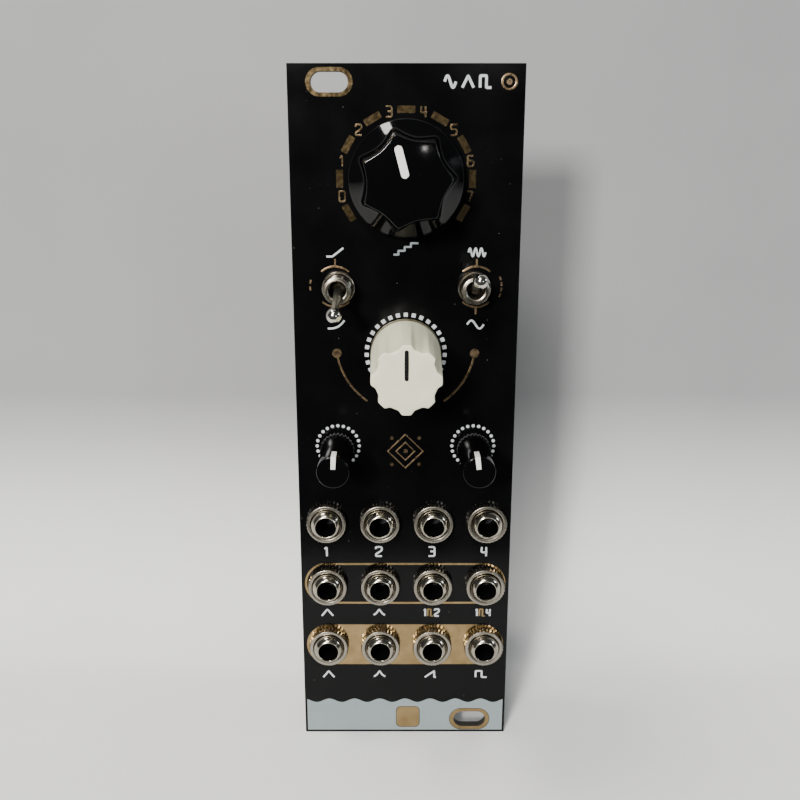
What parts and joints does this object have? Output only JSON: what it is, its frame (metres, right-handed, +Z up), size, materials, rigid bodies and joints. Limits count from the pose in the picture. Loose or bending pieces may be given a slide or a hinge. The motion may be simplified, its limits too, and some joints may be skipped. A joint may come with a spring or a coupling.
{
  "type": "eurorack module",
  "caption": "Oscillator module for a 3U synthesiser rack: printed panel with rotary knobs, toggles and patch jacks, on a stack of circuit boards.",
  "frame": {"origin": "middle of the front panel's lower edge, at half the panel's thickness", "axes": "+Z up the panel, +X to the right seen from the front, +Y from the panel back into the case"},
  "size_m": [0.0404, 0.0561, 0.1285],
  "materials": {
    "panel": "black soldermask on glass fibre board, with gold plated and white printed marks",
    "nickel": "bright nickel plate",
    "shaft_metal": "turned metal",
    "steel_case": "plain sheet metal",
    "gloss_black": "glossy black moulded plastic",
    "black_case": "black moulded plastic",
    "cream": "satin ivory plastic",
    "board": "soldermask on glass fibre board",
    "blue_case": "blue moulded plastic"
  },
  "bodies": {
    "module": {"front_panel": "panel", "jack_r1_c1": "black_case", "jack_r1_c2": "black_case", "jack_r1_c3": "black_case", "jack_r1_c4": "black_case", "jack_r2_c1": "black_case", "jack_r2_c2": "black_case", "jack_r2_c3": "black_case", "jack_r2_c4": "black_case", "jack_r3_c1": "black_case", "jack_r3_c2": "black_case", "jack_r3_c3": "black_case", "jack_r3_c4": "black_case", "jack_nut_r1_c1": "nickel", "jack_nut_r1_c2": "nickel", "jack_nut_r1_c3": "nickel", "jack_nut_r1_c4": "nickel", "jack_nut_r2_c1": "nickel", "jack_nut_r2_c2": "nickel", "jack_nut_r2_c3": "nickel", "jack_nut_r2_c4": "nickel", "jack_nut_r3_c1": "nickel", "jack_nut_r3_c2": "nickel", "jack_nut_r3_c3": "nickel", "jack_nut_r3_c4": "nickel", "octave_switch_case": "black_case", "octave_switch_nut": "nickel", "tune_pot_case": "steel_case", "tune_pot_washer": "nickel", "tune_pot_nut": "nickel", "left_small_pot_case": "black_case", "right_small_pot_case": "black_case", "left_toggle_case": "black_case", "left_toggle_bushing": "nickel", "left_toggle_nut": "nickel", "right_toggle_case": "black_case", "right_toggle_bushing": "nickel", "right_toggle_nut": "nickel", "control_board": "board", "circuit_board": "board", "board_pillar": "nickel", "pillar_screw": "nickel", "board_pin_strip": "black_case", "board_socket": "black_case", "power_header": "black_case", "core_chip": "black_case", "left_filter_capacitor": "steel_case", "right_filter_capacitor": "steel_case", "trimmer_case": "blue_case"},
    "octave_dial": {"octave_switch_shaft": "shaft_metal", "octave_knob": "gloss_black"},
    "tune_dial": {"tune_pot_shaft": "shaft_metal", "tune_knob": "cream"},
    "left_small_dial": {"left_small_pot_shaft": "shaft_metal", "left_small_knob": "gloss_black"},
    "right_small_dial": {"right_small_pot_shaft": "shaft_metal", "right_small_knob": "gloss_black"},
    "left_toggle": {"left_toggle_lever": "nickel"},
    "right_toggle": {"right_toggle_lever": "nickel"},
    "trimmer_wiper": {"trimmer_rotor": "cream"}
  },
  "joints": [
    {"name": "octave_turn", "type": "hinge", "parent": "module", "child": "octave_dial", "pos_m": [0, -0.0008, 0.1096], "axis": [0, 1, 0], "range_deg": [-90, 120]},
    {"name": "tune_turn", "type": "hinge", "parent": "module", "child": "tune_dial", "pos_m": [0, -0.0008, 0.0788], "axis": [0, 1, 0], "range_deg": [-150, 150]},
    {"name": "left_small_turn", "type": "hinge", "parent": "module", "child": "left_small_dial", "pos_m": [-0.01255, -0.0008, 0.06115], "axis": [0, 1, 0], "range_deg": [-153, 147]},
    {"name": "right_small_turn", "type": "hinge", "parent": "module", "child": "right_small_dial", "pos_m": [0.01255, -0.0008, 0.06115], "axis": [0, 1, 0], "range_deg": [-143, 157]},
    {"name": "left_toggle_tilt", "type": "hinge", "parent": "module", "child": "left_toggle", "pos_m": [-0.01195, -0.0018, 0.0909], "axis": [1, 0, 0], "range_deg": [-25.2, 0]},
    {"name": "right_toggle_tilt", "type": "hinge", "parent": "module", "child": "right_toggle", "pos_m": [0.0121, -0.0018, 0.0909], "axis": [1, 0, 0], "range_deg": [0, 25.2]},
    {"name": "trimmer_turn", "type": "hinge", "parent": "module", "child": "trimmer_wiper", "pos_m": [0.0115, 0.0322, 0.098], "axis": [0, 1, 0], "range_deg": [-130, 130]}
  ]
}
